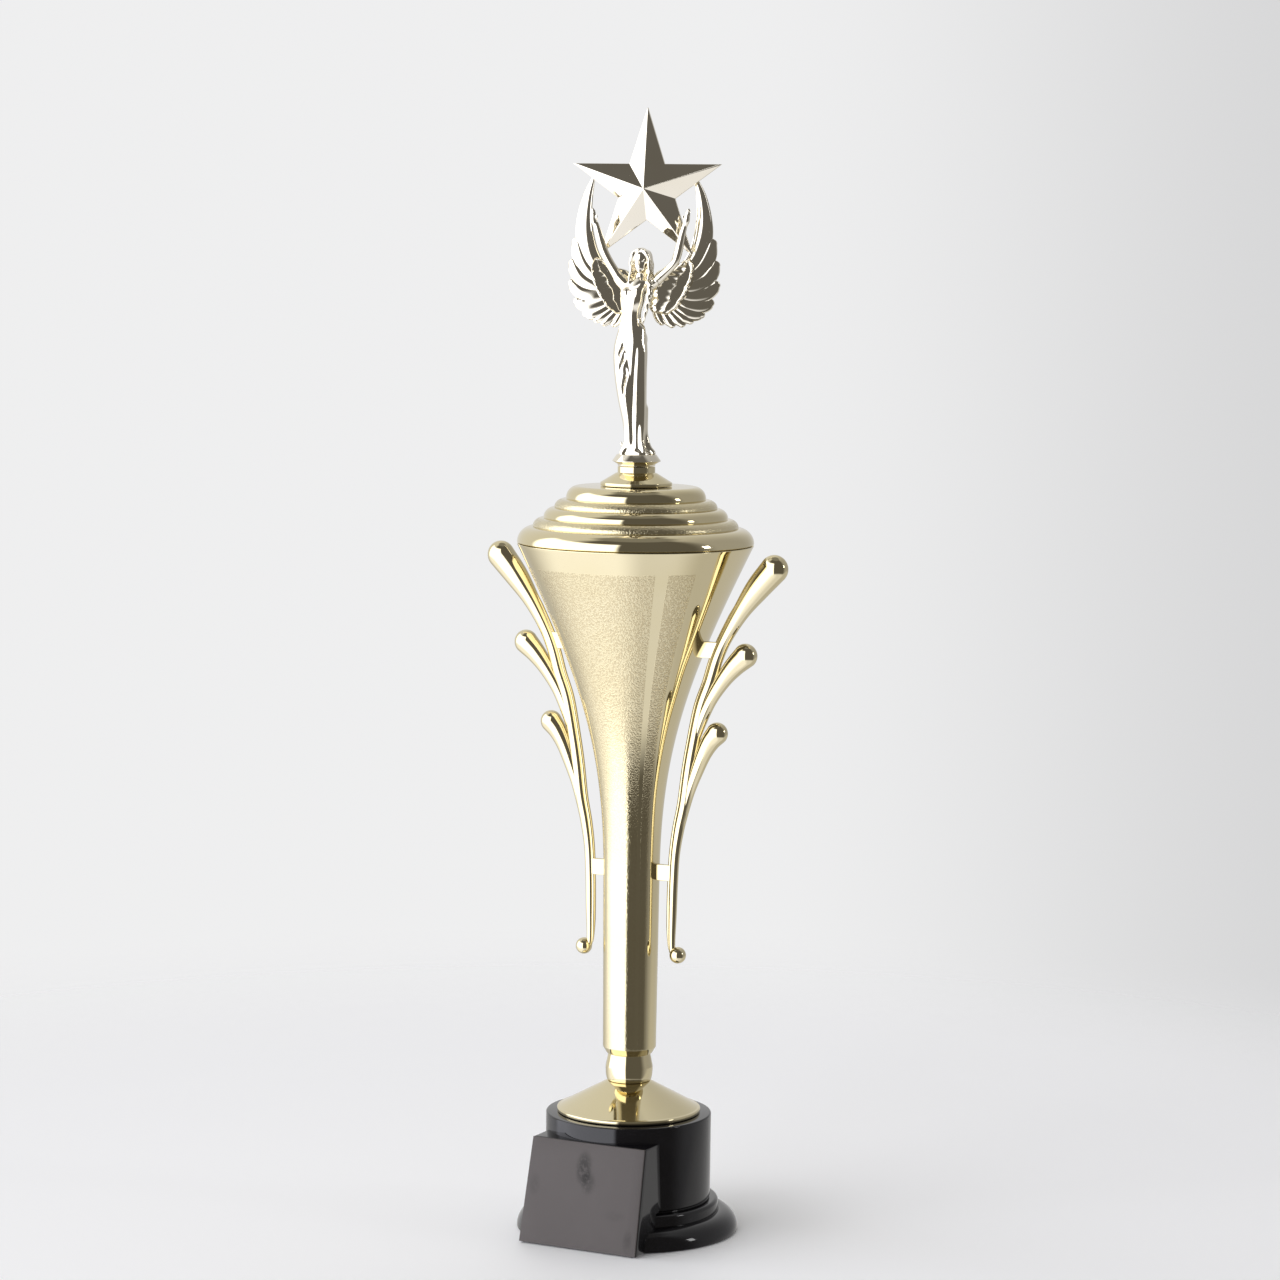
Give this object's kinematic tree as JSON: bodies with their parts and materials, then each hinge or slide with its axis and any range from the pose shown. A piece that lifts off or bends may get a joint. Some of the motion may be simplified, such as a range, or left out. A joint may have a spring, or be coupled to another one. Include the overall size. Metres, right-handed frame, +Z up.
{
  "type": "star trophy",
  "caption": "Tall presentation trophy: round pedestal with a sloping plaque, trumpet cup with leaf handles, lift-off stepped lid, and a winged figure holding up a star.",
  "frame": {"origin": "centre of the underside, on the felt pad's lower face, on the axis of the pedestal and cup", "axes": "+Z up along the axis of the cup, -Y out through the plaque at the front, +X and -X through the two handles"},
  "size_m": [0.1774, 0.1262, 0.6],
  "materials": {
    "felt": "thin dark green felt",
    "cover_plastic": "black moulded plastic, matt",
    "steel": "zinc-plated steel",
    "cast_iron": "raw grey iron casting",
    "black_gloss": "polished black moulded plastic",
    "dark_plate": "dark grey anodised sheet, semi-gloss, lightly smudged",
    "gold_metallised": "vacuum-metallised pale gold, mirror bright, with frosted panels on the cup and two lid rings",
    "figure_gold": "vacuum-metallised champagne gold, mirror bright"
  },
  "bodies": {
    "trophy": {"felt_pad": "felt", "bottom_cover": "cover_plastic", "cover_screw_1": "steel", "cover_screw_2": "steel", "cover_screw_3": "steel", "base_weight": "cast_iron", "pedestal": "black_gloss", "plaque_block": "black_gloss", "plaque_plate": "dark_plate", "tie_rod": "steel", "rod_washer_lower": "steel", "rod_nut_lower": "steel", "foot_cone": "gold_metallised", "stem_knob": "gold_metallised", "stem_tube": "gold_metallised", "cup_body": "gold_metallised", "rod_washer_upper": "steel", "rod_nut_upper": "steel", "right_handle": "gold_metallised", "left_handle": "gold_metallised"},
    "lid_assembly": {"lid": "gold_metallised", "stud_washer": "steel", "stud_nut": "steel", "figure_stud": "steel", "figure_riser": "gold_metallised", "figure_body": "figure_gold", "left_wing": "figure_gold", "right_wing": "figure_gold", "star": "figure_gold"}
  },
  "joints": [
    {"name": "lid_lift", "type": "slide", "parent": "trophy", "child": "lid_assembly", "axis": [0, 0, 1], "range_m": [0, 0.08]}
  ]
}
